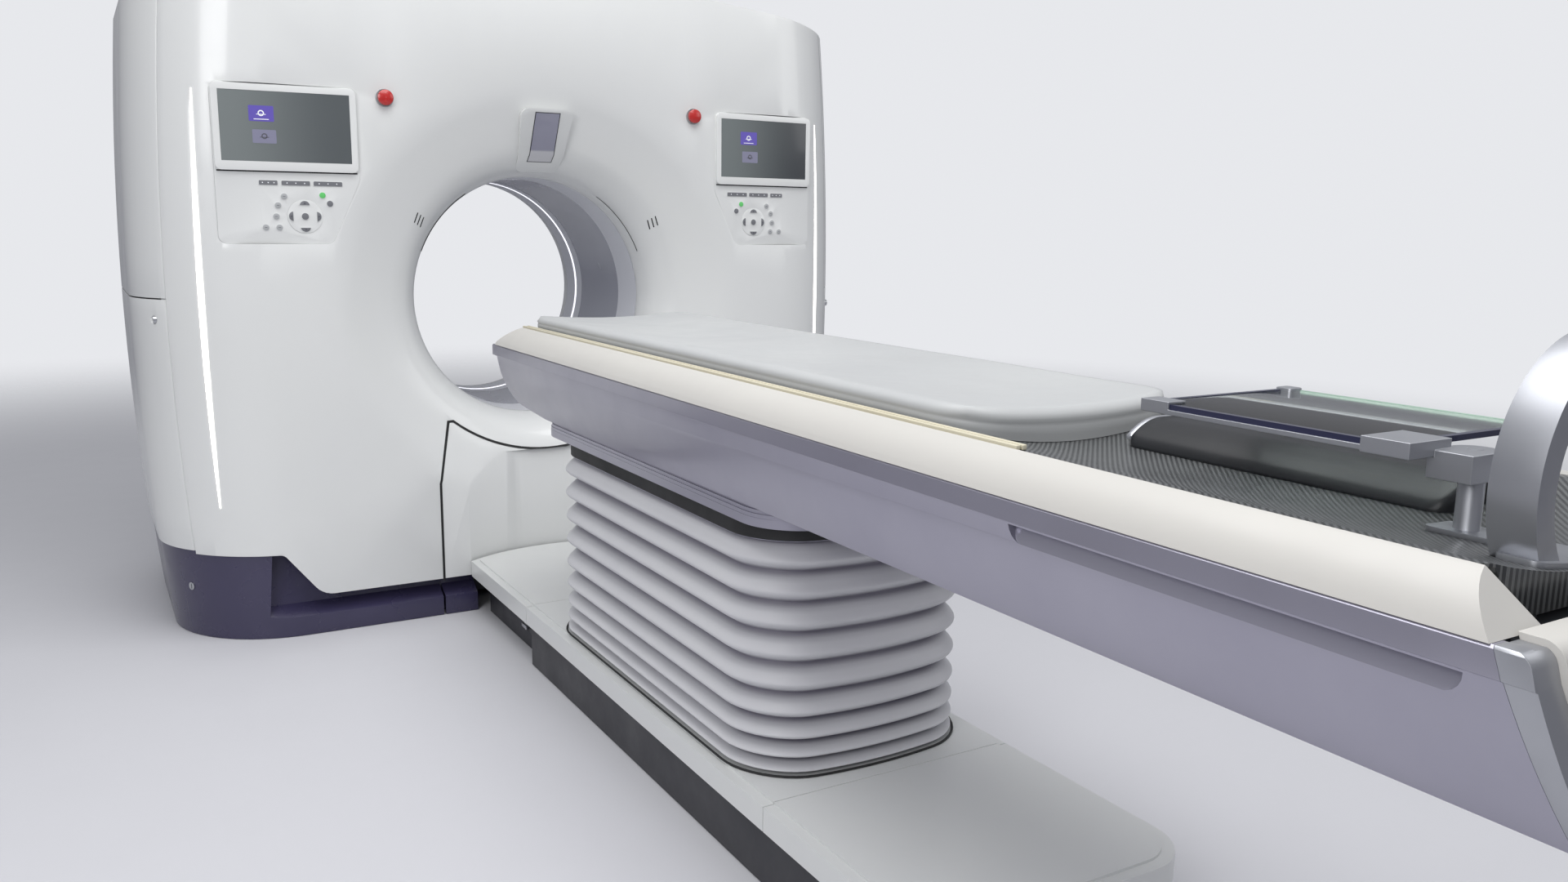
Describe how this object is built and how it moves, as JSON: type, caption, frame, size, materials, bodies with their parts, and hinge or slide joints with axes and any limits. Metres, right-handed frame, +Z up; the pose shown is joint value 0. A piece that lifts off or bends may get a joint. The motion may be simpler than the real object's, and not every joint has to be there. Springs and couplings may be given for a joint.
{
  "type": "computed tomography scanner with patient table",
  "caption": "Wide white gantry with a funnel-shaped bore, control panels and a turning rotor inside, and a lifting patient table whose cradle slides into the bore.",
  "frame": {"origin": "on the floor, under the point where the bore axis crosses the scan plane, in the middle of the gantry anchor holes", "axes": "+Z up, +Y along the bore from the table side to the rear, +X to the right of someone who faces the gantry front"},
  "size_m": [2.44, 4.5561, 2.0518],
  "materials": {
    "gloss_white": "glossy moulded cover",
    "base_slate": "satin slate",
    "seal_rubber": "matt black",
    "liner_plastic": "satin pale grey",
    "clear_film": "satin translucent",
    "light_white": "lit diffuser",
    "smoked_glass": "polished",
    "screen_glass": "polished",
    "stop_red": "glossy red",
    "frame_steel": "powder coated",
    "bearing_steel": "turned",
    "winding": "potted winding",
    "black_plastic": "matt",
    "rotor_metal": "machined",
    "unit_grey": "satin",
    "slip_brass": "turned",
    "column_metal": "satin anodised",
    "bellows_rubber": "matt pale grey",
    "table_silver": "metallic silver paint",
    "carbon": "carbon laminate",
    "cream_plastic": "satin",
    "grey_vinyl": "soft vinyl",
    "black_pad": "soft foam with a skin",
    "clear_glass": "clear"
  },
  "bodies": {
    "base": {"gantry_frame": "frame_steel", "main_bearing": "bearing_steel", "drive_stator": "winding", "brush_block": "black_plastic", "gantry_plinth": "base_slate", "front_cover": "gloss_white", "belly_cover": "gloss_white", "belly_seal": "seal_rubber", "rear_cover": "gloss_white", "top_cover": "gloss_white", "upper_side_cover_left": "gloss_white", "upper_side_cover_right": "gloss_white", "lower_side_cover_left": "gloss_white", "lower_side_cover_right": "gloss_white", "bore_liner": "liner_plastic", "scan_window": "clear_film", "light_ring": "light_white", "light_strips": "light_white", "window_housing": "gloss_white", "camera_window": "smoked_glass", "control_panel_left": "gloss_white", "control_panel_right": "gloss_white", "screen_left": "screen_glass", "screen_right": "screen_glass", "cover_locks": "bearing_steel", "table_base_frame": "frame_steel", "table_base_plinth": "black_plastic", "table_base_cover": "gloss_white", "base_front_box": "black_plastic", "outer_columns": "column_metal", "bellows": "bellows_rubber"},
    "rotor": {"rotor_plate": "rotor_metal", "bearing_inner_ring": "bearing_steel", "xray_tube": "rotor_metal", "collimator": "unit_grey", "detector": "unit_grey", "high_voltage_generator": "unit_grey", "heat_exchanger": "rotor_metal", "slip_ring": "slip_brass"},
    "table_top": {"inner_columns": "column_metal", "table_beam": "frame_steel", "table_body": "table_silver", "bellows_collar": "table_silver", "top_rails": "gloss_white", "foot_ring": "table_silver", "foot_cap": "gloss_white"},
    "cradle": {"cradle": "carbon", "accessory_rails": "cream_plastic", "mattress": "grey_vinyl", "foot_pad": "black_pad", "handle_hoop": "column_metal"},
    "tray": {"tray_arm": "column_metal", "tray_glass": "clear_glass"},
    "estop_left": {"estop_left": "stop_red"},
    "estop_right": {"estop_right": "stop_red"},
    "pad_left": {"direction_pad_left": "gloss_white"},
    "pad_right": {"direction_pad_right": "gloss_white"},
    "latch": {"base_latch": "bearing_steel"},
    "lift_stage": {"middle_columns": "column_metal"},
    "roller": {"cradle_roller": "seal_rubber"}
  },
  "joints": [
    {"name": "rotor_spin", "type": "hinge", "parent": "base", "child": "rotor", "pos_m": [0, 0.2, 1.023], "axis": [0, 1, 0], "continuous": true},
    {"name": "estop_left_press", "type": "slide", "parent": "base", "child": "estop_left", "axis": [0, 1, 0], "range_m": [0, 0.005], "stiffness_N_per_m": 300},
    {"name": "estop_right_press", "type": "slide", "parent": "base", "child": "estop_right", "axis": [0, 1, 0], "range_m": [0, 0.005], "stiffness_N_per_m": 300},
    {"name": "pad_left_press", "type": "slide", "parent": "base", "child": "pad_left", "axis": [0.0523, 0.9986, 0], "range_m": [0, 0.0015], "stiffness_N_per_m": 300},
    {"name": "pad_right_press", "type": "slide", "parent": "base", "child": "pad_right", "axis": [-0.0523, 0.9986, 0], "range_m": [0, 0.0015], "stiffness_N_per_m": 300},
    {"name": "latch_turn", "type": "hinge", "parent": "base", "child": "latch", "pos_m": [-0.25, -1, 0.066], "axis": [-1, 0, 0], "range_deg": [0, 90]},
    {"name": "lift", "type": "slide", "parent": "base", "child": "table_top", "axis": [0, 0, 1], "range_m": [-0.4, 0], "deforming": ["bellows"]},
    {"name": "lift_stage", "type": "slide", "parent": "base", "child": "lift_stage", "axis": [0, 0, 1], "range_m": [-0.2, 0]},
    {"name": "cradle_slide", "type": "slide", "parent": "table_top", "child": "cradle", "axis": [0, 1, 0], "range_m": [0, 1.8]},
    {"name": "roller_turn", "type": "hinge", "parent": "table_top", "child": "roller", "pos_m": [0, -1.048, 0.8907], "axis": [1, 0, 0], "range_deg": [-4310, 5]},
    {"name": "tray_swivel", "type": "hinge", "parent": "cradle", "child": "tray", "pos_m": [-0.04, -3.69, 1.045], "axis": [0, 0, 1], "range_deg": [-10, 60]}
  ],
  "couplings": [
    {"joint": "lift_stage", "follows": "lift", "ratio": 0.5},
    {"joint": "roller_turn", "follows": "cradle_slide", "rad_per_m": -41.667}
  ]
}
